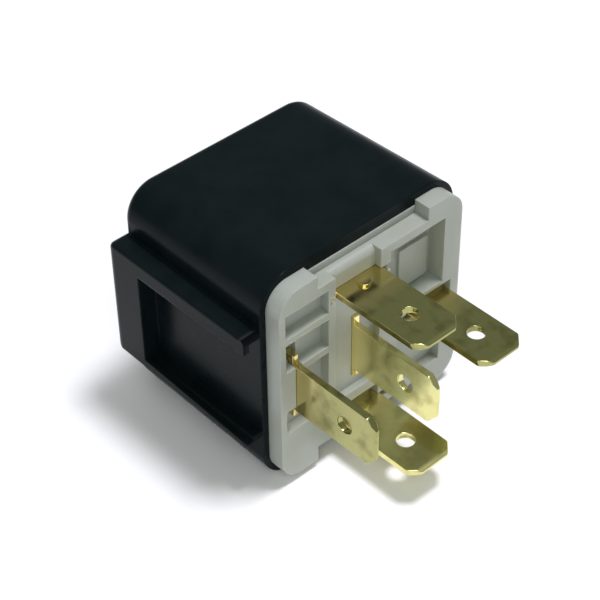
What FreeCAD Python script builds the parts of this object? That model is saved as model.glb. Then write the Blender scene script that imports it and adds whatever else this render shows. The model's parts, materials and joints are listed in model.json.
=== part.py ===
import FreeCAD, Part
import os
import re
import Sketcher

# Plug-in relay with a bracket channel on the cover.
# The origin is the centre of the base's outer face. X points along the blades, Z points up as the relay lies.

sizes = {
    # base
    "flange_side_inset": 0.75,
    "flange_top_inset": 0.9,
    "flange_thickness": 2.1,
    "flange_corner": 2.9,
    "notch_width": 16.0,
    "top_notch_depth": 1.6,
    "bottom_notch_depth": 2.0,
    "notch_round": 0.8,
    "plug_depth": 2.9,
    "plug_clearance": 0.06,
    "pocket_depth": 1.2,
    "centre_pocket_depth": 0.85,
    "deep_pocket_depth": 2.2,
    "left_rim": 0.8,
    "right_rim": 2.6,
    "left_column_width": 6.0,
    "column_rib": 0.95,
    "centre_column_width": 6.5,
    "centre_wall": 1.4,
    "first_rib_top": 7.3,
    "second_rib_top": 2.7,
    "pocket_rib": 0.85,
    "pocket_roof": 10.35,
    "left_pocket_floor": -6.05,
    "blade_land_bottom": -2.9,
    "well_depth": 1.9,
    "well_width": 2.4,
    "well_bottom": 3.0,
    "centre_floor": -6.1,
    "deep_pocket_floor": 1.6,
    "deep_pocket_roof": 10.35,
    "pad_width": 4.3,
    "pad_height": 5.3,
    "pad_relief": 0.4,
    "pad_margin": 0.5,
    "pad_side_margin": 0.7,
    "common_pocket_depth": 1.0,
    "common_pocket_roof": 1.1,
    "common_pocket_margin": 0.3,
    "lower_pocket_floor": -9.85,
    "lower_pocket_roof": -2.6,
    "lower_pocket_width": 6.9,
    "coil_pocket_depth": 1.3,
    "coil_pocket_height": 2.8,
    "coil_pocket_drop": 0.7,
    # cover
    "cover_width": 28.0,
    "cover_height": 27.9,
    "body_length": 24.35,
    "cover_wall": 1.2,
    "cover_corner": 4.0,
    "cover_end_edge": 1.3,
    "cover_taper": 0.35,
    "block_reach": 2.2,
    "block_top": 8.1,
    "block_bottom": -7.0,
    "block_end_gap": 2.2,
    "rail_round": 0.9,
    "block_draft": 0.5,
    "lip_thickness": 0.75,
    "upper_lip": 2.05,
    "lower_lip": 1.2,
    "block_wall": 1.0,
    "window_start": 5.3,
    "window_draft": 1.0,
    # blades
    "blade_width": 6.3,
    "blade_thickness": 0.8,
    "blade_reach": 11.5,
    "blade_chamfer": 1.2,
    "blade_corner": 0.5,
    "bevel_depth": 0.22,
    "bevel_length": 0.6,
    "blade_hole": 2.1,
    "blade_hole_setback": 4.4,
    "shoulder_width": 8.5,
    "shoulder_setback": 0.5,
    "slot_clearance": 0.05,
    "dimple_size": 1.5,
    "dimple_height": 0.3,
    "dimple_place": 0.4,
    "tag_width": 1.6,
    "tag_length": 1.6,
    "weld_tab_width": 5.0,
    "weld_tab_height": 3.0,
    "coil_blade_inset": 4.925,
    "blade_row_height": -0.45,
    "coil_row_place": -1.85,
    "common_blade_inset": 5.45,
    "open_blade_inset": 3.3,
    "closed_place": -1.9,
    # magnet system
    "yoke_side_gap": 1.7,
    "coil_leg_distance": 8.4,
    "core_size": 6.0,
    "pole_size": 9.4,
    "pole_thickness": 1.0,
    "core_rivet_size": 4.0,
    "core_rivet_height": 0.3,
    "bobbin_bore_clearance": 0.05,
    "bobbin_tube_wall": 0.7,
    "coil_blade_clearance": 1.125,
    "bobbin_flange_thickness": 0.8,
    "bobbin_corner": 1.5,
    "winding_inset": 0.9,
    "yoke_thickness": 1.5,
    "yoke_width": 14.0,
    "yoke_gap": 1.0,
    "yoke_foot_length": 14.6,
    "yoke_bend": 1.2,
    "yoke_ear_width": 1.8,
    "yoke_ear_height": 1.1,
    # armature and contacts
    "armature_thickness": 1.3,
    "armature_width": 13.0,
    "armature_corner": 2.5,
    "ear_clearance": 0.2,
    "leg_clearance": 0.3,
    "armature_tail": 1.45,
    "hinge_gap": 0.02,
    "air_gap": 0.55,
    "spring_thickness": 0.25,
    "spring_width": 7.0,
    "spring_tip_width": 3.4,
    "spring_tip_corner": 1.2,
    "spring_setback": 3.2,
    "spring_neck_offset": 1.2,
    "armature_rivet_setback": 5.2,
    "contact_inset": 4.6,
    "contact_overhang": 3.8,
    "contact_size": 2.6,
    "contact_head": 0.5,
    "contact_shank": 1.4,
    "contact_gap": 0.7,
    "closed_gap": 0.03,
    "strip_thickness": 0.7,
    "contact_end_gap": 0.25,
    "riser_width": 3.1,
    "closed_riser_place": -8.5,
    "closed_riser_offset": 2.1,
    "open_riser_width": 5.0,
    "open_riser_offset": 0.6,
    "arm_margin": 0.3,
    "hinge_spring_width": 8.0,
    "hinge_spring_foot": 7.5,
    "hinge_spring_lift": 0.35,
    "hinge_spring_knee": 0.5,
    "hinge_spring_land": 1.3,
    "hinge_spring_reach": 2.6,
    "hinge_spring_slant": 0.1,
    "rivet_head": 2.0,
    "rivet_head_height": 0.4,
    "rivet_shank": 1.2,
    "rivet_spacing": 4.0,
    "rivet_depth": 0.8,
    "yoke_rivet_setback": 2.0,
    "lead_size": 0.4,
    "lead_gap": 0.01,
    "fit_clearance": 0.02,
    "cut_margin": 1.0,
}

document = FreeCAD.newDocument("relay")
sheet = document.addObject("Spreadsheet::Sheet", "Sizes")
for row, (alias, value) in enumerate(sizes.items(), start=1):
    sheet.set(f"A{row}", alias)
    sheet.set(f"B{row}", str(value))
    sheet.setAlias(f"B{row}", alias)
document.recompute()

pieces = []


def bound(text):
    """Turn size names in a formula into cells of the sheet."""
    def cell(word):
        return "Sizes." + word.group() if word.group() in sizes else word.group()
    return re.sub(r"[a-z][a-z_]*", cell, text)


def new_body(label):
    body = document.addObject("PartDesign::Body", label)
    body.Label = label
    pieces.append(body)
    return body


def plane_of(body, role):
    return next(item for item in body.Origin.OriginFeatures if item.Role == role)


def new_sketch(body, name, plane, start):
    """A sketch at the place `start` along the axis that its plane faces."""
    sketch = body.newObject("Sketcher::SketchObject", name)
    sketch.AttachmentSupport = [(plane_of(body, plane), "")]
    sketch.MapMode = "FlatFace"
    sign = "-" if plane == "XZ_Plane" else ""
    sketch.setExpression("AttachmentOffset.Base.z", bound(f"{sign}({start})"))
    return sketch


def fix_point(sketch, geometry, point, place):
    for kind, formula in zip(("DistanceX", "DistanceY"), place):
        index = sketch.addConstraint(Sketcher.Constraint(kind, -1, 1, geometry, point, 1.0))
        sketch.setExpression(f"Constraints[{index}]", bound(formula))


def draw_outline(sketch, corners):
    count = len(corners)
    spot = [FreeCAD.Vector(5, 0, 0)]
    for step in range(1, count):
        spot.append(FreeCAD.Rotation(FreeCAD.Vector(0, 0, 1), 360 * step / count).multVec(spot[0]))
    for step in range(count):
        sketch.addGeometry(Part.LineSegment(spot[step], spot[(step + 1) % count]), False)
    for step in range(count):
        sketch.addConstraint(Sketcher.Constraint("Coincident", step, 2, (step + 1) % count, 1))
    for step, corner in enumerate(corners):
        fix_point(sketch, step, 1, corner)


def draw_circle(sketch, centre, diameter):
    index = sketch.addGeometry(Part.Circle(FreeCAD.Vector(1, 1, 0), FreeCAD.Vector(0, 0, 1), 1), False)
    fix_point(sketch, index, 3, centre)
    size = sketch.addConstraint(Sketcher.Constraint("Diameter", index, 2.0))
    sketch.setExpression(f"Constraints[{size}]", bound(diameter))


def rectangle(left, right, low, high):
    return [(left, low), (right, low), (right, high), (left, high)]


def around(centre, width):
    return f"({centre}) - ({width}) / 2", f"({centre}) + ({width}) / 2"


def extrude(body, name, plane, draw, start, end, cut=False):
    """Add or cut a prism from `start` to `end` along the plane's axis."""
    sketch = new_sketch(body, name + "_outline", plane, start)
    draw(sketch)
    kind = "PartDesign::Pocket" if cut else "PartDesign::Pad"
    feature = body.newObject(kind, name)
    feature.Profile = sketch
    feature.setExpression("Length", bound(f"({end}) - ({start})"))
    feature.Reversed = cut != (plane == "XZ_Plane")
    return feature


def prism(body, name, plane, corners, start, end, cut=False):
    return extrude(body, name, plane, lambda sketch: draw_outline(sketch, corners), start, end, cut)


def disc(body, name, plane, centre, diameter, start, end, cut=False):
    return extrude(body, name, plane, lambda sketch: draw_circle(sketch, centre, diameter), start, end, cut)


def edges_where(feature, chosen):
    document.recompute()
    return [f"Edge{number}" for number, edge in enumerate(feature.Shape.Edges, start=1) if chosen(edge)]


def dress(body, kind, name, base, chosen, size):
    """Round or chamfer the chosen edges of `base`."""
    names = edges_where(base, chosen)
    feature = body.newObject("PartDesign::" + kind, name)
    feature.Base = (base, names)
    feature.setExpression("Radius" if kind == "Fillet" else "Size", bound(size))
    return feature


def runs_along(edge, axis):
    direction = edge.Vertexes[-1].Point - edge.Vertexes[0].Point
    return direction.Length > 0 and abs(abs(direction.normalize().dot(axis)) - 1) < tolerance


tolerance = 1e-3
along_x = FreeCAD.Vector(1, 0, 0)
along_y = FreeCAD.Vector(0, 1, 0)
along_z = FreeCAD.Vector(0, 0, 1)

# Shared places, as formulas of the sizes
flange_back = "-flange_thickness"
plug_back = "-flange_thickness - plug_depth"
cover_side = "cover_width / 2"
cover_top = "cover_height / 2"
flange_side = "(cover_width / 2 - flange_side_inset)"
flange_top = "(cover_height / 2 - flange_top_inset)"
key_low = f"{flange_top} - top_notch_depth"
lower_key_top = f"-{flange_top} + bottom_notch_depth"
inner_end = "-body_length + cover_wall"
inner_side = "cover_width / 2 - cover_wall - cover_taper"
inner_roof = "cover_height / 2 - cover_wall - cover_taper"
foot_front = f"{plug_back} - yoke_gap"
foot_back = f"{foot_front} - yoke_thickness"
closed_strip_back = f"{inner_end} + contact_end_gap"
closed_strip_front = f"{closed_strip_back} + strip_thickness"
moving_outer = f"{closed_strip_front} + contact_head + closed_gap"
spring_outer = f"{moving_outer} + contact_head"
spring_inner = f"{spring_outer} + spring_thickness"
moving_inner = f"{spring_inner} + contact_head"
open_head_face = f"{moving_inner} + contact_gap"
open_strip_back = f"{open_head_face} + contact_head"
armature_outer = spring_inner
armature_inner = f"{armature_outer} + armature_thickness"
pole_face = f"{armature_inner} + air_gap"
leg_end = f"{armature_inner} + hinge_gap"
bobbin_top = f"{pole_face} + pole_thickness"
winding_top = f"{bobbin_top} + bobbin_flange_thickness"
winding_bottom = f"{foot_back} - bobbin_flange_thickness"
yoke_back = "(cover_width / 2 - cover_wall - yoke_side_gap)"
leg_place = "(cover_width / 2 - cover_wall - yoke_side_gap - yoke_thickness)"
coil_place = f"({leg_place} - coil_leg_distance)"
coil_axis = (coil_place, "blade_row_height")
armature_rivet_line = f"({leg_place} - armature_rivet_setback)"
top_blade = "blade_row_height + (cover_height / 2 - coil_blade_inset)"
bottom_blade = "blade_row_height - (cover_height / 2 - coil_blade_inset)"
common_place = "(cover_width / 2 - common_blade_inset)"
open_place = "(-cover_width / 2 + open_blade_inset)"
bobbin_size = "(cover_height - 2 * coil_blade_inset - blade_thickness - 2 * coil_blade_clearance)"
winding_size = f"({bobbin_size} - 2 * winding_inset)"
spring_foot = f"{leg_end} + hinge_spring_foot"
yoke_rivet_line = f"{spring_foot} - yoke_rivet_setback"
contact_place = "(-cover_width / 2 + contact_inset)"
free_end = f"({contact_place} + contact_overhang)"
contact_spot = (contact_place, "blade_row_height")
rivet_heights = ("blade_row_height - rivet_spacing / 2", "blade_row_height + rivet_spacing / 2")
rivet_hole = "rivet_shank + 2 * fit_clearance"
lead_run = f"({coil_place} - coil_row_place - lead_size / 2)"
lead_rise = f"sqrt(({winding_size} / 2) ^ 2 - {lead_run} ^ 2)"


def blade_outline(centre, outer_shoulder=True):
    """The plug-in blade with its two clipped corners and its shoulders in the base."""
    low, high = around(centre, "blade_width")
    low_shoulder, high_shoulder = around(centre, "shoulder_width")
    clip = "blade_reach - blade_chamfer"
    corners = [
        (plug_back, low_shoulder), ("-shoulder_setback", low_shoulder), ("-shoulder_setback", low),
        (clip, low), ("blade_reach", f"{low} + blade_chamfer"),
        ("blade_reach", f"{high} - blade_chamfer"), (clip, high),
    ]
    if not outer_shoulder:
        return corners + [(plug_back, high)]
    return corners + [
        ("-shoulder_setback", high), ("-shoulder_setback", high_shoulder), (plug_back, high_shoulder),
    ]


def make_blade(body, upright, centre, middle, outer_shoulder=True):
    """A blade of which the mid-plane is `middle`: rounded corners, a coined tip and a pierced hole."""
    low, high = around(middle, "blade_thickness")
    plane, side_plane = ("XZ_Plane", "XY_Plane") if upright else ("XY_Plane", "XZ_Plane")
    blade = prism(body, "blade", plane, blade_outline(centre, outer_shoulder), low, high)
    across = along_y if upright else along_z
    clip_line = sizes["blade_reach"] - sizes["blade_chamfer"] - tolerance
    dress(body, "Fillet", "clipped_corners", blade,
          lambda edge: runs_along(edge, across) and edge.CenterOfMass.x > clip_line, "blade_corner")
    for name, face, sign in (("low_bevel", low, "+"), ("high_bevel", high, "-")):
        prism(body, name, side_plane, [
            ("blade_reach - bevel_length", face), ("blade_reach + bevel_length", face),
            ("blade_reach + bevel_length", f"{face} {sign} 2 * bevel_depth"),
        ], *around(centre, "blade_width + cut_margin"), cut=True)
    disc(body, "hole", plane, ("blade_reach - blade_hole_setback", centre), "blade_hole",
         f"{low} - cut_margin", f"{high} + cut_margin", cut=True)


def make_cover():
    cover = new_body("cover")
    prism(cover, "shell", "YZ_Plane", rectangle(f"-{cover_side}", cover_side, f"-{cover_top}", cover_top),
          "-body_length", flange_back)
    for name, plane, face, out, back, across in (
            ("near_slope", "XY_Plane", f"-{cover_side}", "-", "+", cover_top),
            ("far_slope", "XY_Plane", cover_side, "+", "-", cover_top),
            ("top_slope", "XZ_Plane", cover_top, "+", "-", cover_side)):
        beyond = f"{face} {out} cut_margin"
        slope = prism(cover, name, plane, [
            (flange_back, face), ("-body_length", f"{face} {back} cover_taper"),
            ("-body_length", beyond), (flange_back, beyond),
        ], f"-{across} - cut_margin", f"{across} + cut_margin", cut=True)
    dress(cover, "Fillet", "long_corners", slope, lambda edge: runs_along(edge, along_x), "cover_corner")
    block = prism(cover, "bracket_block", "XZ_Plane", [
        ("-body_length", "block_bottom"), ("-block_end_gap", "block_bottom - block_draft"),
        ("-block_end_gap", "block_top"), ("-body_length", "block_top"),
    ], f"-{cover_side} - block_reach", f"-{cover_side} + cover_wall / 2")
    back = -sizes["body_length"] + tolerance
    end = dress(cover, "Fillet", "end_edge", block, lambda edge: edge.BoundBox.XMax < back, "cover_end_edge")
    rail_end = -sizes["block_end_gap"] - tolerance
    cover_face = -sizes["cover_width"] / 2
    dress(cover, "Fillet", "rail_ends", end, lambda edge: runs_along(edge, along_y)
          and edge.CenterOfMass.x > rail_end and edge.CenterOfMass.y < cover_face, "rail_round")
    cavity = prism(cover, "cavity", "YZ_Plane",
                   rectangle(f"-({inner_side})", inner_side, f"-({inner_roof})", inner_roof),
                   inner_end, f"{flange_back} + cut_margin", cut=True)
    wall_y = sizes["cover_width"] / 2 - sizes["cover_wall"] - sizes["cover_taper"]
    wall_z = sizes["cover_height"] / 2 - sizes["cover_wall"] - sizes["cover_taper"]
    dress(cover, "Fillet", "cavity_corners", cavity, lambda edge: runs_along(edge, along_x)
          and abs(abs(edge.CenterOfMass.y) - wall_y) < tolerance
          and abs(abs(edge.CenterOfMass.z) - wall_z) < tolerance, "cover_corner - cover_wall")
    for name, low, high in (("upper_key", key_low, f"{cover_top} - cover_wall / 2"),
                            ("lower_key", f"-{cover_top} + cover_wall / 2", lower_key_top)):
        prism(cover, name, "YZ_Plane", rectangle("-notch_width / 2", "notch_width / 2", low, high),
              plug_back, flange_back)
    lip_back = f"-{cover_side} - block_reach + lip_thickness"
    start = "-body_length + window_start"
    prism(cover, "channel", "YZ_Plane",
          rectangle(lip_back, f"-{cover_side}", "block_bottom + block_wall", "block_top - block_wall"),
          start, "0", cut=True)
    prism(cover, "window", "XZ_Plane", [
        (start, "block_bottom + lower_lip"), ("0", "block_bottom + lower_lip - window_draft"),
        ("0", "block_top - upper_lip"), (start, "block_top - upper_lip"),
    ], f"-{cover_side} - block_reach - cut_margin", f"{lip_back} + fit_clearance", cut=True)


def notched_outline(half_width, half_height, notch, roof, floor):
    """A rectangle with one wide notch in its upper edge and one in its lower edge."""
    return [
        (f"-({half_width})", f"-({half_height})"), (f"-({notch})", f"-({half_height})"),
        (f"-({notch})", floor), (notch, floor), (notch, f"-({half_height})"), (half_width, f"-({half_height})"),
        (half_width, half_height), (notch, half_height), (notch, roof), (f"-({notch})", roof),
        (f"-({notch})", half_height), (f"-({half_width})", half_height),
    ]


def face_pocket(base, name, corners, depth):
    """A recess of the given depth in the base's outer face."""
    return prism(base, name, "YZ_Plane", corners, f"-{depth}", "cut_margin", cut=True)


def make_base():
    base = new_body("base")
    plug = prism(base, "plug", "YZ_Plane",
                 notched_outline(f"{inner_side} - plug_clearance", f"{inner_roof} - plug_clearance",
                                 "notch_width / 2 + plug_clearance", f"{key_low} - plug_clearance",
                                 f"{lower_key_top} + plug_clearance"),
                 plug_back, flange_back)
    inner_wall = sizes["cover_width"] / 2 - sizes["cover_wall"] - sizes["cover_taper"]
    plug_edge = inner_wall - sizes["plug_clearance"] - tolerance
    dress(base, "Fillet", "plug_corners", plug, lambda edge: runs_along(edge, along_x)
          and abs(edge.CenterOfMass.y) > plug_edge, "cover_corner - cover_wall")
    flange = prism(base, "flange", "YZ_Plane",
                   notched_outline(flange_side, flange_top, "notch_width / 2", key_low, lower_key_top),
                   flange_back, "0")
    flange_edge = sizes["cover_width"] / 2 - sizes["flange_side_inset"] - tolerance
    dress(base, "Fillet", "flange_corners", flange, lambda edge: runs_along(edge, along_x)
          and abs(edge.CenterOfMass.y) > flange_edge, "flange_corner")

    column = f"-{flange_side} + left_rim"
    column_end = f"{column} + left_column_width"
    row_low = "first_rib_top - pocket_rib"
    face_pocket(base, "left_pocket_1", rectangle(column, column_end, "first_rib_top", "pocket_roof"),
                "pocket_depth")
    face_pocket(base, "left_pocket_2", rectangle(column, column_end, "second_rib_top", row_low),
                "pocket_depth")
    blade_far = f"{open_place} + blade_thickness / 2"
    third_roof = "second_rib_top - pocket_rib"
    face_pocket(base, "left_pocket_3", [
        (column, "left_pocket_floor"), (column_end, "left_pocket_floor"), (column_end, third_roof),
        (blade_far, third_roof), (blade_far, "blade_land_bottom"), (column, "blade_land_bottom"),
    ], "pocket_depth")
    face_pocket(base, "well", rectangle(column, f"{column} + well_width", "well_bottom", row_low),
                "well_depth")

    centre = f"{column_end} + column_rib"
    centre_end = f"{centre} + centre_column_width"
    pocket = face_pocket(base, "centre_pocket", rectangle(centre, centre_end, "centre_floor", flange_top),
                         "centre_pocket_depth")
    notch_floor = sizes["cover_height"] / 2 - sizes["flange_top_inset"] - sizes["top_notch_depth"]
    pocket_wall = -sizes["centre_pocket_depth"]
    dress(base, "Fillet", "notch_edge", pocket, lambda edge: runs_along(edge, along_y)
          and abs(edge.CenterOfMass.z - notch_floor) < tolerance
          and abs(edge.CenterOfMass.x - pocket_wall) < tolerance, "notch_round")
    coil_low = f"{bottom_blade} - coil_pocket_drop"
    face_pocket(base, "coil_pocket",
                rectangle(centre, centre_end, coil_low, f"{coil_low} + coil_pocket_height"), "coil_pocket_depth")

    deep_start = f"{centre_end} + centre_wall"
    deep_end = f"{flange_side} - right_rim"
    face_pocket(base, "deep_pocket", rectangle(deep_start, deep_end, "deep_pocket_floor", "deep_pocket_roof"),
                "deep_pocket_depth")
    pad_end = f"{deep_end} - pad_side_margin"
    pad_low = "deep_pocket_floor + pad_margin"
    prism(base, "pad", "YZ_Plane",
          rectangle(f"{pad_end} - pad_width", pad_end, pad_low, f"{pad_low} + pad_height"),
          "-deep_pocket_depth - fit_clearance", "-deep_pocket_depth + pad_relief")
    common_low = f"{around('blade_row_height', 'blade_thickness')[0]} - common_pocket_margin"
    face_pocket(base, "common_pocket",
                rectangle(*around(common_place, "blade_width + 2 * common_pocket_margin"),
                          common_low, "common_pocket_roof"), "common_pocket_depth")
    lower_start = f"{deep_end} - lower_pocket_width"
    face_pocket(base, "lower_pocket",
                rectangle(lower_start, deep_end, "lower_pocket_floor", "lower_pocket_roof"), "pocket_depth")

    long_slot = "shoulder_width + 2 * slot_clearance"
    thin_slot = "blade_thickness + 2 * slot_clearance"
    common_slot = (around(common_place, long_slot)[0], f"{common_place} + blade_width / 2 + slot_clearance")
    slots = {
        "top_coil": (around("coil_row_place", long_slot), around(top_blade, thin_slot)),
        "bottom_coil": (around("coil_row_place", long_slot), around(bottom_blade, thin_slot)),
        "common": (common_slot, around("blade_row_height", thin_slot)),
        "open": (around(open_place, thin_slot), around("blade_row_height", long_slot)),
        "closed": (around("closed_place", thin_slot), around("blade_row_height", long_slot)),
    }
    for name, (across, upward) in slots.items():
        prism(base, f"{name}_slot", "YZ_Plane", rectangle(*across, *upward), f"{plug_back} - cut_margin",
              "cut_margin", cut=True)
    strip_low = "blade_row_height - closed_riser_offset - riser_width - slot_clearance"
    strip_high = "blade_row_height - closed_riser_offset + slot_clearance"
    strip_near = "closed_riser_place - strip_thickness / 2 - slot_clearance"
    prism(base, "strip_groove", "YZ_Plane", rectangle(strip_near, "closed_place", strip_low, strip_high),
          f"{plug_back} - cut_margin", f"{plug_back} + strip_thickness + slot_clearance", cut=True)


def make_coil_terminal(label, height):
    """A coil blade whose inner end narrows to a tag for the winding's wire."""
    terminal = new_body(label)
    make_blade(terminal, False, "coil_row_place", height)
    low, high = around(height, "blade_thickness")
    left, right = around("coil_row_place", "tag_width")
    prism(terminal, "tag", "XY_Plane", rectangle(f"{foot_back} - tag_length", plug_back, left, right),
          low, high)
    disc(terminal, "dimple", "XY_Plane", ("dimple_place", "coil_row_place"), "dimple_size",
         high, f"{high} + dimple_height")


def make_common_terminal():
    """The common blade: its inner end turns up to lie against the yoke's foot."""
    terminal = new_body("common_terminal")
    make_blade(terminal, False, common_place, "blade_row_height", outer_shoulder=False)
    low, high = around("blade_row_height", "blade_thickness")
    left, right = around(common_place, "weld_tab_width")
    tab_top = f"{high} + weld_tab_height"
    prism(terminal, "weld_tab", "XZ_Plane", [
        (plug_back, low), (plug_back, high), (f"{foot_front} + blade_thickness", high),
        (f"{foot_front} + blade_thickness", tab_top), (foot_front, tab_top), (foot_front, low),
    ], left, right)


def make_open_terminal():
    """The blade that carries the normally open contact on a bent arm."""
    terminal = new_body("open_terminal")
    make_blade(terminal, True, "blade_row_height", open_place)
    near, far = around(open_place, "blade_thickness")
    arm = f"{contact_place} + contact_size / 2 + arm_margin"
    arm_face = f"{open_strip_back} + strip_thickness"
    low, high = around("blade_row_height + open_riser_offset", "open_riser_width")
    prism(terminal, "riser", "XY_Plane", [
        (plug_back, near), (plug_back, far), (arm_face, far), (arm_face, arm), (open_strip_back, arm),
        (open_strip_back, near),
    ], low, high)
    disc(terminal, "contact_hole", "YZ_Plane", contact_spot, "contact_shank",
         f"{open_strip_back} - cut_margin", f"{arm_face} + cut_margin", cut=True)


def make_closed_terminal():
    """The centre blade: it crosses behind the base and rises beside the coil to the closed contact."""
    terminal = new_body("closed_terminal")
    make_blade(terminal, True, "blade_row_height", "closed_place")
    near, far = around("closed_place", "blade_thickness")
    inner, outer = around("closed_riser_place", "strip_thickness")
    high = "blade_row_height - closed_riser_offset"
    low = f"{high} - riser_width"
    front = f"{plug_back} + strip_thickness"
    prism(terminal, "riser", "XY_Plane", [
        (front, near), (front, inner), (closed_strip_back, inner), (closed_strip_back, outer),
        (plug_back, outer), (plug_back, near),
    ], low, high)
    tip = f"{contact_place} - contact_size / 2 - arm_margin"
    prism(terminal, "arm", "YZ_Plane",
          rectangle(tip, outer, low, "blade_row_height + contact_size / 2 + arm_margin"),
          closed_strip_back, closed_strip_front)
    disc(terminal, "contact_hole", "YZ_Plane", contact_spot, "contact_shank",
         f"{closed_strip_back} - cut_margin", f"{closed_strip_front} + cut_margin", cut=True)


def make_rivet_contact(label, head_start, head_end, shank_start, shank_end):
    contact = new_body(label)
    disc(contact, "head", "YZ_Plane", contact_spot, "contact_size", head_start, head_end)
    disc(contact, "shank", "YZ_Plane", contact_spot, "contact_shank - fit_clearance", shank_start, shank_end)


def make_coil():
    """Bobbin, winding and core, all on the coil's axis."""
    bobbin = new_body("bobbin")
    across, upward = around(coil_place, bobbin_size), around("blade_row_height", bobbin_size)
    tube_size = "core_size + 2 * bobbin_tube_wall"
    prism(bobbin, "lower_flange", "YZ_Plane", rectangle(*across, *upward), winding_bottom, foot_back)
    disc(bobbin, "tube", "YZ_Plane", coil_axis, tube_size, winding_top, winding_bottom)
    prism(bobbin, "upper_flange", "YZ_Plane", rectangle(*across, *upward), bobbin_top, winding_top)
    bore = disc(bobbin, "bore", "YZ_Plane", coil_axis, "core_size + 2 * bobbin_bore_clearance",
                f"{bobbin_top} - cut_margin", f"{foot_back} + cut_margin", cut=True)
    dress(bobbin, "Fillet", "flange_corners", bore, lambda edge: runs_along(edge, along_x)
          and edge.Length < 2 * sizes["bobbin_flange_thickness"]
          and abs(edge.CenterOfMass.z - sizes["blade_row_height"]) > sizes["pole_size"] / 2, "bobbin_corner")

    winding = new_body("coil_winding")
    disc(winding, "copper", "YZ_Plane", coil_axis, winding_size, winding_top, winding_bottom)
    disc(winding, "inside", "YZ_Plane", coil_axis, tube_size, f"{winding_top} - cut_margin",
         f"{winding_bottom} + cut_margin", cut=True)

    core = new_body("core")
    disc(core, "pole", "YZ_Plane", coil_axis, "pole_size", pole_face, bobbin_top)
    disc(core, "shaft", "YZ_Plane", coil_axis, "core_size", bobbin_top, foot_back)
    disc(core, "rivet_end", "YZ_Plane", coil_axis, "core_rivet_size",
         foot_back, f"{foot_front} + core_rivet_height")


def make_yoke():
    yoke = new_body("yoke")
    low, high = around("blade_row_height", "yoke_width")
    foot_end = f"{leg_place} - yoke_foot_length"
    bend = prism(yoke, "bent_strip", "XY_Plane", [
        (foot_front, foot_end), (foot_front, yoke_back), (leg_end, yoke_back), (leg_end, leg_place),
        (foot_back, leg_place), (foot_back, foot_end),
    ], low, high)
    outer = sizes["cover_width"] / 2 - sizes["cover_wall"] - sizes["yoke_side_gap"] - tolerance
    front = -sizes["flange_thickness"] - sizes["plug_depth"] - sizes["yoke_gap"] - tolerance
    dress(yoke, "Fillet", "bend_radius", bend, lambda edge: runs_along(edge, along_z)
          and edge.CenterOfMass.y > outer and edge.CenterOfMass.x > front, "yoke_bend")
    for name, start, end in (("lower_ear", low, f"{low} + yoke_ear_width"),
                             ("upper_ear", f"{high} - yoke_ear_width", high)):
        prism(yoke, name, "XY_Plane",
              rectangle(f"{leg_end} - yoke_ear_height", leg_end, leg_place, yoke_back), start, end)
    disc(yoke, "core_hole", "YZ_Plane", coil_axis, "core_rivet_size + 2 * fit_clearance",
         f"{foot_back} - cut_margin", f"{foot_front} + cut_margin", cut=True)
    for number, height in enumerate(rivet_heights, start=1):
        disc(yoke, f"rivet_hole_{number}", "XZ_Plane", (yoke_rivet_line, height), rivet_hole,
             f"{yoke_back} - rivet_depth", f"{yoke_back} + cut_margin", cut=True)


def make_armature():
    armature = new_body("armature")
    low, high = around("blade_row_height", "armature_width")
    neck_low, neck_high = around("blade_row_height", "yoke_width - 2 * yoke_ear_width - 2 * ear_clearance")
    shoulder = f"{leg_place} - leg_clearance"
    tail = f"{leg_place} + armature_tail"
    plate = prism(armature, "plate", "YZ_Plane", [
        (free_end, low), (shoulder, low), (shoulder, neck_low), (tail, neck_low),
        (tail, neck_high), (shoulder, neck_high), (shoulder, high), (free_end, high),
    ], armature_outer, armature_inner)
    document.recompute()
    end_line = plate.Shape.BoundBox.YMin + tolerance
    dress(armature, "Chamfer", "free_corners", plate,
          lambda edge: runs_along(edge, along_x) and edge.CenterOfMass.y < end_line, "armature_corner")
    for number, height in enumerate(rivet_heights, start=1):
        disc(armature, f"rivet_hole_{number}", "YZ_Plane", (armature_rivet_line, height), rivet_hole,
             f"{armature_outer} - cut_margin", f"{armature_inner} + cut_margin", cut=True)


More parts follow.
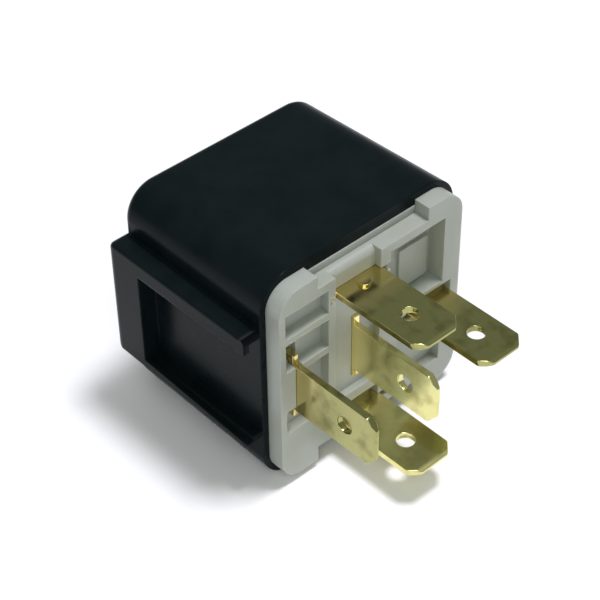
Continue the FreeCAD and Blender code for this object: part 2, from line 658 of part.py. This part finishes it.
def make_contact_spring():
    """The leaf on the armature, its contact and its two rivets."""
    spring = new_body("contact_spring")
    wide_low, wide_high = around("blade_row_height", "spring_width")
    tip_low, tip_high = around("blade_row_height", "spring_tip_width")
    start = f"{leg_place} - spring_setback"
    neck = "closed_riser_place + spring_neck_offset"
    tip = f"{contact_place} - spring_tip_width / 2"
    leaf = prism(spring, "leaf", "YZ_Plane", [
        (start, wide_low), (start, wide_high), (free_end, wide_high), (neck, tip_high),
        (tip, tip_high), (tip, tip_low), (neck, tip_low), (free_end, wide_low),
    ], spring_outer, spring_inner)
    dress(spring, "Fillet", "round_tip", leaf, lambda edge: runs_along(edge, along_x)
          and edge.CenterOfMass.y < leaf.Shape.BoundBox.YMin + tolerance, "spring_tip_corner")
    holes = {"contact_hole": (contact_spot, "contact_shank")}
    for number, height in enumerate(rivet_heights, start=1):
        holes[f"rivet_hole_{number}"] = ((armature_rivet_line, height), rivet_hole)
    for name, (spot, size) in holes.items():
        disc(spring, name, "YZ_Plane", spot, size,
             f"{spring_outer} - cut_margin", f"{spring_inner} + cut_margin", cut=True)

    contact = new_body("moving_contact")
    disc(contact, "outer_head", "YZ_Plane", contact_spot, "contact_size", moving_outer, spring_outer)
    disc(contact, "shank", "YZ_Plane", contact_spot, "contact_shank - fit_clearance",
         spring_outer, spring_inner)
    disc(contact, "inner_head", "YZ_Plane", contact_spot, "contact_size", spring_inner, moving_inner)

    for number, height in enumerate(rivet_heights, start=1):
        rivet = new_body(f"armature_rivet_{number}")
        spot = (armature_rivet_line, height)
        disc(rivet, "head", "YZ_Plane", spot, "rivet_head",
             f"{spring_outer} - rivet_head_height", spring_outer)
        disc(rivet, "shank", "YZ_Plane", spot, "rivet_shank", spring_outer, armature_inner)


def make_hinge_spring():
    """The bent leaf that holds the armature to the yoke, and its two rivets."""
    spring = new_body("hinge_spring")
    low, high = around("blade_row_height", "hinge_spring_width")
    outer = f"{yoke_back} + spring_thickness"
    lift = f"{spring_outer} - hinge_spring_lift"
    land = f"{armature_outer} - closed_gap"
    knee = f"{leg_place} - hinge_spring_knee"
    heel = f"{leg_place} - hinge_spring_land"
    reach = f"{leg_place} - hinge_spring_reach"
    prism(spring, "bent_leaf", "XY_Plane", [
        (spring_foot, yoke_back), (spring_foot, outer), (f"{lift} - spring_thickness", outer),
        (f"{lift} - spring_thickness", f"{knee} - hinge_spring_slant"),
        (f"{land} - spring_thickness", f"{heel} - hinge_spring_slant"),
        (f"{land} - spring_thickness", reach), (land, reach), (land, f"{heel} + hinge_spring_slant"),
        (lift, f"{knee} + hinge_spring_slant"), (lift, yoke_back),
    ], low, high)
    for number, height in enumerate(rivet_heights, start=1):
        spot = (yoke_rivet_line, height)
        disc(spring, f"rivet_hole_{number}", "XZ_Plane", spot, rivet_hole,
             f"{yoke_back} - cut_margin", f"{outer} + cut_margin", cut=True)
        rivet = new_body(f"yoke_rivet_{number}")
        disc(rivet, "head", "XZ_Plane", spot, "rivet_head", outer, f"{outer} + rivet_head_height")
        disc(rivet, "shank", "XZ_Plane", spot, "rivet_shank", f"{yoke_back} - rivet_depth", outer)


def make_lead(label, start, end):
    """One end of the winding's wire, run straight out to its coil tag."""
    lead = new_body(label)
    spot = (f"{winding_bottom} - lead_size", "coil_row_place")
    disc(lead, "wire", "XY_Plane", spot, "lead_size", start, end)


make_cover()
make_base()
make_coil_terminal("top_coil_terminal", top_blade)
make_coil_terminal("bottom_coil_terminal", bottom_blade)
make_common_terminal()
make_open_terminal()
make_closed_terminal()
make_rivet_contact("open_contact", open_head_face, open_strip_back, open_strip_back,
                   f"{open_strip_back} + strip_thickness")
make_rivet_contact("closed_contact", closed_strip_front, f"{closed_strip_front} + contact_head",
                   closed_strip_back, closed_strip_front)
make_coil()
make_yoke()
make_armature()
make_contact_spring()
make_hinge_spring()
make_lead("top_lead", f"blade_row_height + {lead_rise}",
          f"{top_blade} - blade_thickness / 2 - lead_gap")
make_lead("bottom_lead", f"{bottom_blade} + blade_thickness / 2 + lead_gap",
          f"blade_row_height - {lead_rise}")
document.recompute()

broken = [item.Name for item in document.Objects if {"Invalid", "Error"} & set(item.State)]
if broken:
    raise RuntimeError(f"failed objects: {broken}")
os.makedirs("parts", exist_ok=True)
for piece in pieces:
    shape = piece.Shape
    if shape.isNull() or not shape.isValid() or len(shape.Solids) != 1:
        raise RuntimeError(f"bad shape: {piece.Label}")
    shape.exportStep(f"parts/{piece.Label}.step")
    print(f"{piece.Label}: {shape.Volume:.2f} mm3")
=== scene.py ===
import json
import math
import bmesh
import bpy
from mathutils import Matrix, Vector

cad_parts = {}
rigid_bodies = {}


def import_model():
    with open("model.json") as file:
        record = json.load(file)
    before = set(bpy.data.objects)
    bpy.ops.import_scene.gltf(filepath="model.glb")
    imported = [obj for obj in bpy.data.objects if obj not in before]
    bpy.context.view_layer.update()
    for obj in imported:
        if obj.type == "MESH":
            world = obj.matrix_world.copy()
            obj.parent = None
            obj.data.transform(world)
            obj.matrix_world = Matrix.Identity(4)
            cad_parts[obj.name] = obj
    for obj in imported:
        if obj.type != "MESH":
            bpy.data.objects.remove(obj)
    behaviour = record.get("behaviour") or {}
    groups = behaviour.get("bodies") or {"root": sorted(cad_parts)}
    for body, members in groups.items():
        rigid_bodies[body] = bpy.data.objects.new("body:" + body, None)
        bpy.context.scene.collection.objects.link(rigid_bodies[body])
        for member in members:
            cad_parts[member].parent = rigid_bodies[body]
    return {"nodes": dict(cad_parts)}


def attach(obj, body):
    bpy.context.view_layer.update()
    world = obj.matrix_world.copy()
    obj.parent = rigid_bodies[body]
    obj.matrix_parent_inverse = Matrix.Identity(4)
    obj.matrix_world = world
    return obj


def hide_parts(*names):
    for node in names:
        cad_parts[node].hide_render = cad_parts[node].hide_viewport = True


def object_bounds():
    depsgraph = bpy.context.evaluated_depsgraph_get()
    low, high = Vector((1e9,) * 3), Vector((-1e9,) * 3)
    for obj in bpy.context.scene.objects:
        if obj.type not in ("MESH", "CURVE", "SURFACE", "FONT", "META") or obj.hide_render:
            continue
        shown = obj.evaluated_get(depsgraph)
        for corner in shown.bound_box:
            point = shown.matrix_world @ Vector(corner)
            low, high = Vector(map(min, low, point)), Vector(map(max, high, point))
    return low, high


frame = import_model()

edgeSamples = 6
sharpAngle = math.radians(35)  # steeper than this counts as an edge

nodes = frame["nodes"]
cadLow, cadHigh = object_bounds()
bpy.ops.object.select_all(action="DESELECT")
print("relay loaded:", len(nodes), "nodes")


def startMaterial(name):
    material = bpy.data.materials.new(name)
    material.use_nodes = True
    tree = material.node_tree
    return material, tree, tree.nodes["Principled BSDF"]


def objectPattern(tree, kind, stretch, **values):
    # a texture on Object coordinates, with its own stretch along X, Y and Z
    place = tree.nodes.new("ShaderNodeTexCoord")
    mapping = tree.nodes.new("ShaderNodeMapping")
    mapping.inputs["Scale"].default_value = stretch
    texture = tree.nodes.new(kind)
    for key, value in values.items():
        texture.inputs[key].default_value = value
    tree.links.new(place.outputs["Object"], mapping.inputs["Vector"])
    tree.links.new(mapping.outputs["Vector"], texture.inputs["Vector"])
    return texture


def remap(tree, source, low, high, toLow, toHigh):
    node = tree.nodes.new("ShaderNodeMapRange")
    for key, value in (("From Min", low), ("From Max", high), ("To Min", toLow), ("To Max", toHigh)):
        node.inputs[key].default_value = value
    tree.links.new(source, node.inputs["Value"])
    return node.outputs["Result"]


def blendColours(tree, factor, first, second):
    mix = tree.nodes.new("ShaderNodeMix")
    mix.data_type = "RGBA"
    mix.inputs["A"].default_value = (*first, 1)
    mix.inputs["B"].default_value = (*second, 1)
    tree.links.new(factor, mix.inputs["Factor"])
    return mix.outputs["Result"]


def roughen(tree, shader, cloud, roughness, top=0.7):
    # the clouds make the surface duller in places
    tree.links.new(remap(tree, cloud.outputs["Fac"], 0.3, top, *roughness), shader.inputs["Roughness"])


def tint(tree, shader, cloud, spread, first, second):
    tone = remap(tree, cloud.outputs["Fac"], *spread, 0, 1)
    tree.links.new(blendColours(tree, tone, first, second), shader.inputs["Base Color"])


def roundEdges(tree, radius):
    # moulded edges catch the light as if rounded
    edge = tree.nodes.new("ShaderNodeBevel")
    edge.samples = edgeSamples
    edge.inputs["Radius"].default_value = radius
    return edge.outputs["Normal"]


def addBump(tree, shader, height, strength, distance, after=None):
    # fine relief, laid over rounded edges where there are any
    bump = tree.nodes.new("ShaderNodeBump")
    bump.inputs["Strength"].default_value = strength
    bump.inputs["Distance"].default_value = distance
    tree.links.new(height, bump.inputs["Height"])
    if after:
        tree.links.new(after, bump.inputs["Normal"])
    tree.links.new(bump.outputs["Normal"], shader.inputs["Normal"])


coverFinish = {
    "dark": (0.0036, 0.0070, 0.0078), "light": (0.0054, 0.0092, 0.0102),
    "cloud": 260, "spread": (0.35, 0.65), "roughness": (0.25, 0.31), "gloss": 0.066,
    "grain": 6500, "grainStrength": 0.2, "grainDepth": 0.000008, "edge": 0.00028,
}


def makeCoverPlastic():
    material, tree, shader = startMaterial("blackCover")
    cloud = objectPattern(tree, "ShaderNodeTexNoise", (1, 1, 1), Scale=coverFinish["cloud"], Detail=4.0)
    grain = objectPattern(tree, "ShaderNodeTexNoise", (1, 1, 1), Scale=coverFinish["grain"], Detail=2.0)
    tint(tree, shader, cloud, coverFinish["spread"], coverFinish["dark"], coverFinish["light"])
    roughen(tree, shader, cloud, coverFinish["roughness"])
    shader.inputs["Specular IOR Level"].default_value = coverFinish["gloss"]
    addBump(tree, shader, grain.outputs["Fac"], coverFinish["grainStrength"], coverFinish["grainDepth"],
            roundEdges(tree, coverFinish["edge"]))
    return material


baseFinish = {
    "pale": (0.360, 0.385, 0.345), "warm": (0.335, 0.357, 0.305),
    "cloud": 190, "spread": (0.38, 0.68), "roughness": (0.34, 0.46),
    "glow": 0.35, "glowColour": (1.0, 0.95, 0.8), "glowDepth": 0.0011,
    "grain": 4200, "grainStrength": 0.25, "grainDepth": 0.00001, "edge": 0.00015,
}


def makeBasePlastic():
    material, tree, shader = startMaterial("ivoryBase")
    cloud = objectPattern(tree, "ShaderNodeTexNoise", (1, 1, 1), Scale=baseFinish["cloud"], Detail=5.0)
    grain = objectPattern(tree, "ShaderNodeTexNoise", (1, 1, 1), Scale=baseFinish["grain"], Detail=2.0)
    tint(tree, shader, cloud, baseFinish["spread"], baseFinish["pale"], baseFinish["warm"])
    roughen(tree, shader, cloud, baseFinish["roughness"])
    shader.inputs["Subsurface Weight"].default_value = baseFinish["glow"]
    shader.inputs["Subsurface Radius"].default_value = baseFinish["glowColour"]
    shader.inputs["Subsurface Scale"].default_value = baseFinish["glowDepth"]
    addBump(tree, shader, grain.outputs["Fac"], baseFinish["grainStrength"], baseFinish["grainDepth"],
            roundEdges(tree, baseFinish["edge"]))
    return material


# each "root" colour is a painted reflection: the base's face mirrored in the brass, laid on near the blade's root
bladeFinishes = {
    "agedBrass": {"bright": (0.400, 0.392, 0.155), "aged": (0.250, 0.235, 0.085), "root": (0.74, 0.61, 0.25)},
    # the same brass painted lighter, standing in for the light that the centre and bottom blades catch
    "brightBrass": {"bright": (0.780, 0.745, 0.330), "aged": (0.560, 0.510, 0.200), "root": (0.97, 0.84, 0.38)},
}
bladeTexture = {
    "cloud": 520, "stain": (0.47, 0.70), "roughness": (0.12, 0.24), "reflectionFrom": 0.0002, "reflectionTo": 0.0042,
    "lines": 9000, "stretch": (0.12, 1, 1), "lineStrength": 0.3, "lineDepth": 0.000003,
}


def makeBladeBrass(name):
    finish = bladeFinishes[name]
    material, tree, shader = startMaterial(name)
    shader.inputs["Metallic"].default_value = 1
    cloud = objectPattern(tree, "ShaderNodeTexNoise", (1, 1, 1), Scale=bladeTexture["cloud"], Detail=6.0)
    lines = objectPattern(tree, "ShaderNodeTexNoise", bladeTexture["stretch"],
                          Scale=bladeTexture["lines"], Detail=3.0)
    tone = remap(tree, cloud.outputs["Fac"], *bladeTexture["stain"], 0, 1)
    place = tree.nodes.new("ShaderNodeTexCoord")
    axes = tree.nodes.new("ShaderNodeSeparateXYZ")
    tree.links.new(place.outputs["Object"], axes.inputs["Vector"])
    paintedReflectionMask = remap(tree, axes.outputs["X"], bladeTexture["reflectionFrom"], bladeTexture["reflectionTo"], 1, 0)
    warm = tree.nodes.new("ShaderNodeMix")  # painted reflection: golden where the blade leaves the base, standing in for the base's face mirrored in the brass
    warm.data_type = "RGBA"
    warm.inputs["B"].default_value = (*finish["root"], 1)
    tree.links.new(paintedReflectionMask, warm.inputs["Factor"])
    tree.links.new(blendColours(tree, tone, finish["bright"], finish["aged"]), warm.inputs["A"])
    tree.links.new(warm.outputs["Result"], shader.inputs["Base Color"])
    roughen(tree, shader, cloud, bladeTexture["roughness"], 0.75)
    addBump(tree, shader, lines.outputs["Fac"], bladeTexture["lineStrength"], bladeTexture["lineDepth"])
    return material


metalTexture = {"cloud": 500.0, "spread": (0.35, 0.7), "lines": 7000.0, "lineStrength": 0.3, "lineDepth": 0.000006}
metalFinishes = {  # bright colour, dull colour, roughness, stretch of the lines
    "contactSilver": ((0.86, 0.85, 0.82), (0.70, 0.69, 0.66), (0.18, 0.32), (1, 1, 1)),
    "softIron": ((0.60, 0.60, 0.60), (0.46, 0.46, 0.47), (0.28, 0.42), (1, 1, 0.15)),
    "springBronze": ((0.86, 0.56, 0.36), (0.72, 0.44, 0.27), (0.2, 0.34), (0.15, 1, 1)),
    "rivetSteel": ((0.66, 0.66, 0.67), (0.52, 0.52, 0.53), (0.22, 0.36), (1, 1, 1)),
    "copperWire": ((0.78, 0.31, 0.14), (0.60, 0.20, 0.08), (0.22, 0.36), (1, 0.1, 0.1)),
}


def makeMetal(name):
    bright, dull, roughness, stretch = metalFinishes[name]
    material, tree, shader = startMaterial(name)
    shader.inputs["Metallic"].default_value = 1
    cloud = objectPattern(tree, "ShaderNodeTexNoise", (1, 1, 1), Scale=metalTexture["cloud"], Detail=5.0)
    lines = objectPattern(tree, "ShaderNodeTexNoise", stretch, Scale=metalTexture["lines"], Detail=2.0)
    tint(tree, shader, cloud, metalTexture["spread"], bright, dull)
    roughen(tree, shader, cloud, roughness)
    addBump(tree, shader, lines.outputs["Fac"], metalTexture["lineStrength"], metalTexture["lineDepth"])
    return material


windingFinish = {
    "bright": (0.80, 0.33, 0.15), "dull": (0.58, 0.20, 0.08), "roughness": (0.2, 0.34),
    "turns": 1570, "waver": 0.5, "turnStrength": 0.7, "turnDepth": 0.00004,  # turns 0.2 mm apart
}


def makeWoundCopper():
    material, tree, shader = startMaterial("woundCopper")
    shader.inputs["Metallic"].default_value = 1
    cloud = objectPattern(tree, "ShaderNodeTexNoise", (1, 1, 1), Scale=metalTexture["cloud"], Detail=5.0)
    turns = objectPattern(tree, "ShaderNodeTexWave", (1, 1, 1),
                          Scale=windingFinish["turns"], Distortion=windingFinish["waver"], Detail=1.0)
    tint(tree, shader, cloud, metalTexture["spread"], windingFinish["bright"], windingFinish["dull"])
    roughen(tree, shader, cloud, windingFinish["roughness"])
    addBump(tree, shader, turns.outputs["Fac"], windingFinish["turnStrength"], windingFinish["turnDepth"])
    return material


bobbinFinish = {
    "pale": (0.78, 0.76, 0.68), "warm": (0.68, 0.65, 0.56), "cloud": 300.0, "spread": (0.35, 0.65),
    "roughness": (0.4, 0.55), "cloudStrength": 0.2, "cloudDepth": 0.00002,
}


def makeBobbinPlastic():
    material, tree, shader = startMaterial("bobbinPlastic")
    cloud = objectPattern(tree, "ShaderNodeTexNoise", (1, 1, 1), Scale=bobbinFinish["cloud"], Detail=4.0)
    tint(tree, shader, cloud, bobbinFinish["spread"], bobbinFinish["pale"], bobbinFinish["warm"])
    roughen(tree, shader, cloud, bobbinFinish["roughness"])
    addBump(tree, shader, cloud.outputs["Fac"], bobbinFinish["cloudStrength"], bobbinFinish["cloudDepth"])
    return material


finishes = {name: makeMetal(name) for name in metalFinishes}
finishes["blackCover"] = makeCoverPlastic()
finishes["ivoryBase"] = makeBasePlastic()
finishes.update({name: makeBladeBrass(name) for name in bladeFinishes})
finishes["bobbinPlastic"] = makeBobbinPlastic()
finishes["woundCopper"] = makeWoundCopper()
print("materials made:", len(finishes))

nodeFinish = {
    "cover": "blackCover", "base": "ivoryBase", "bobbin": "bobbinPlastic", "coil_winding": "woundCopper",
    "top_lead": "copperWire", "bottom_lead": "copperWire", "core": "softIron", "yoke": "softIron",
    "armature": "softIron", "contact_spring": "springBronze", "hinge_spring": "springBronze",
    "open_contact": "contactSilver", "closed_contact": "contactSilver", "moving_contact": "contactSilver",
    "armature_rivet_1": "rivetSteel", "armature_rivet_2": "rivetSteel", "yoke_rivet_1": "rivetSteel",
    "yoke_rivet_2": "rivetSteel", "top_coil_terminal": "agedBrass", "bottom_coil_terminal": "brightBrass",
    "common_terminal": "agedBrass", "open_terminal": "agedBrass", "closed_terminal": "brightBrass",
}


def dressNode(name):
    node = nodes[name]
    node.data.materials.clear()
    node.data.materials.append(finishes[nodeFinish[name]])


for name in nodes:
    dressNode(name)


mesh = {"sameSpot": 0.000002, "flatAngle": math.radians(0.6)}


def inZone(edge, low, high):
    return all(low[axis] < corner.co[axis] < high[axis] for corner in edge.verts for axis in range(3))


def softenEdges(nodeName, setup):
    # a copy of the part with the sharp edges inside its zones rounded
    piece = bpy.data.objects.new(nodeName + "_soft", nodes[nodeName].data.copy())
    bpy.context.scene.collection.objects.link(piece)
    bpy.ops.object.select_all(action="DESELECT")
    piece.select_set(True)
    bpy.context.view_layer.objects.active = piece
    bpy.ops.object.mode_set(mode="EDIT")
    bpy.ops.mesh.select_all(action="SELECT")
    bpy.ops.mesh.remove_doubles(threshold=mesh["sameSpot"])
    bpy.ops.mesh.dissolve_limited(angle_limit=mesh["flatAngle"])
    bpy.ops.mesh.select_all(action="DESELECT")
    shape = bmesh.from_edit_mesh(piece.data)
    for edge in shape.edges:
        sharp = edge.is_convex and edge.calc_face_angle() > sharpAngle
        edge.select = sharp and any(inZone(edge, low, high) for low, high in setup["zones"])
    bmesh.update_edit_mesh(piece.data)
    bpy.ops.mesh.bevel(offset=setup["radius"], segments=setup["steps"], clamp_overlap=False, loop_slide=False)
    bpy.ops.object.mode_set(mode="OBJECT")
    bpy.ops.object.shade_smooth_by_angle(angle=sharpAngle)
    flats = piece.modifiers.new("flatNormals", "WEIGHTED_NORMAL")  # flats stay flat beside their round edges
    flats.keep_sharp = True
    bpy.ops.object.modifier_apply(modifier=flats.name)
    piece.data.materials.clear()
    piece.data.materials.append(finishes[nodeFinish[nodeName]])
    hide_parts(nodeName)
    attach(piece, "housing")
    print("edges softened:", nodeName, len(piece.data.polygons), "faces")


blockEdges = {  # the bracket block's long upper and lower edges
    "radius": 0.0004, "steps": 4, "slot": "cover_plastic",
    "zones": [((-0.025, -0.017, 0.0073), (-0.0029, -0.0142, 0.0083)),
              ((-0.025, -0.017, -0.0077), (-0.0029, -0.0142, -0.0062))],
}
bladeEdges = {  # every stamped edge
    "radius": 0.00007, "steps": 3, "slot": "blade_brass",
    "zones": [((-0.03, -0.03, -0.03), (0.03, 0.03, 0.03))],
}
blades = ("top_coil_terminal", "bottom_coil_terminal", "common_terminal", "open_terminal", "closed_terminal")
softenEdges("cover", blockEdges)
for bladeNode in blades:
    softenEdges(bladeNode, bladeEdges)

notchWeb = {
    "back": -0.0021, "thickness": 0.00012, "low": 0.01143, "high": 0.0124, "halfWidth": 0.00798,
    "edge": 0.00005, "steps": 2,
}


def makeNotchWeb():
    # the white web that closes the notch under the cover's edge
    middle = (notchWeb["back"] + notchWeb["thickness"] / 2, 0, (notchWeb["low"] + notchWeb["high"]) / 2)
    bpy.ops.object.select_all(action="DESELECT")
    bpy.ops.mesh.primitive_cube_add(size=1, location=middle)
    web = bpy.context.active_object
    web.name = "notch_web"
    web.scale = (notchWeb["thickness"], 2 * notchWeb["halfWidth"], notchWeb["high"] - notchWeb["low"])
    bpy.ops.object.transform_apply(location=True, rotation=True, scale=True)
    bpy.ops.object.mode_set(mode="EDIT")
    bpy.ops.mesh.select_all(action="SELECT")
    bpy.ops.mesh.bevel(offset=notchWeb["edge"], segments=notchWeb["steps"])
    bpy.ops.object.mode_set(mode="OBJECT")
    bpy.ops.object.shade_smooth_by_angle(angle=sharpAngle)
    web.data.materials.append(finishes["ivoryBase"])
    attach(web, "housing")


makeNotchWeb()
print("notch web made")


floorSetup = {
    "size": 3.0, "height": cadLow.z, "colour": (0.96, 0.96, 0.96), "shade": 0.99, "cloud": 30.0, "roughness": 0.9,
}


def makeFloor():
    bpy.ops.mesh.primitive_plane_add(size=floorSetup["size"], location=(0, 0, floorSetup["height"]))
    floor = bpy.context.active_object
    floor.name = "floor"
    material, tree, shader = startMaterial("floorPaper")
    cloud = objectPattern(tree, "ShaderNodeTexNoise", (1, 1, 1), Scale=floorSetup["cloud"], Detail=2.0)
    light = floorSetup["colour"]
    shade = [tone * floorSetup["shade"] for tone in light]
    tree.links.new(blendColours(tree, cloud.outputs["Fac"], light, shade), shader.inputs["Base Color"])
    shader.inputs["Roughness"].default_value = floorSetup["roughness"]
    floor.data.materials.append(material)


makeFloor()
print("floor ready")

lights = {  # both aim at the origin
    "overhead": {"place": (0.06, 0.11, 0.60), "size": 0.135, "power": 2.9, "colour": (1.0, 0.98, 1.06)},
    "front": {"place": (0.42, -0.36, 0.50), "size": 0.4, "power": 1.68, "colour": (0.97, 1.0, 0.96)},
}
streakBlades = ("top_coil_terminal", "open_terminal", "closed_terminal", "common_terminal")
sky = {"colour": (0.94, 1.0, 0.99, 1), "strength": 0.29}


def makeLight(name, setup):
    bpy.ops.object.light_add(type="AREA", location=setup["place"])
    lamp = bpy.context.active_object
    lamp.name = name
    lamp.data.size = setup["size"]
    lamp.data.energy = setup["power"]
    lamp.data.color = setup["colour"]
    lamp.rotation_euler = (-Vector(setup["place"])).to_track_quat("-Z", "Y").to_euler()


for name, setup in lights.items():
    makeLight(name, setup)
shadowCasters = bpy.data.collections.new("shadowCasters")  # four blades would leave long streaks on the floor
for caster in bpy.data.objects:
    if caster.type == "MESH" and not caster.name.startswith(streakBlades):
        shadowCasters.objects.link(caster)
bpy.data.objects["overhead"].light_linking.blocker_collection = shadowCasters

world = bpy.data.worlds.new("studio")
bpy.context.scene.world = world
world.use_nodes = True
background = world.node_tree.nodes["Background"]
background.inputs["Color"].default_value = sky["colour"]
background.inputs["Strength"].default_value = sky["strength"]
print("lights ready:", len(lights))

cameraSetup = {
    "place": (0.09657, -0.09900, 0.12593), "turn": (48.872, 0.569, 46.978),
    "lens": 105.18, "sensor": 36, "nearest": 0.01,
}


def makeCamera():
    bpy.ops.object.camera_add(location=cameraSetup["place"],
                              rotation=[math.radians(angle) for angle in cameraSetup["turn"]])
    camera = bpy.context.active_object
    camera.data.lens = cameraSetup["lens"]
    camera.data.sensor_width = cameraSetup["sensor"]
    camera.data.clip_start = cameraSetup["nearest"]
    bpy.context.scene.camera = camera


makeCamera()
bpy.context.scene.view_settings.view_transform = "Standard"
print("camera ready")

bpy.ops.object.select_all(action="DESELECT")
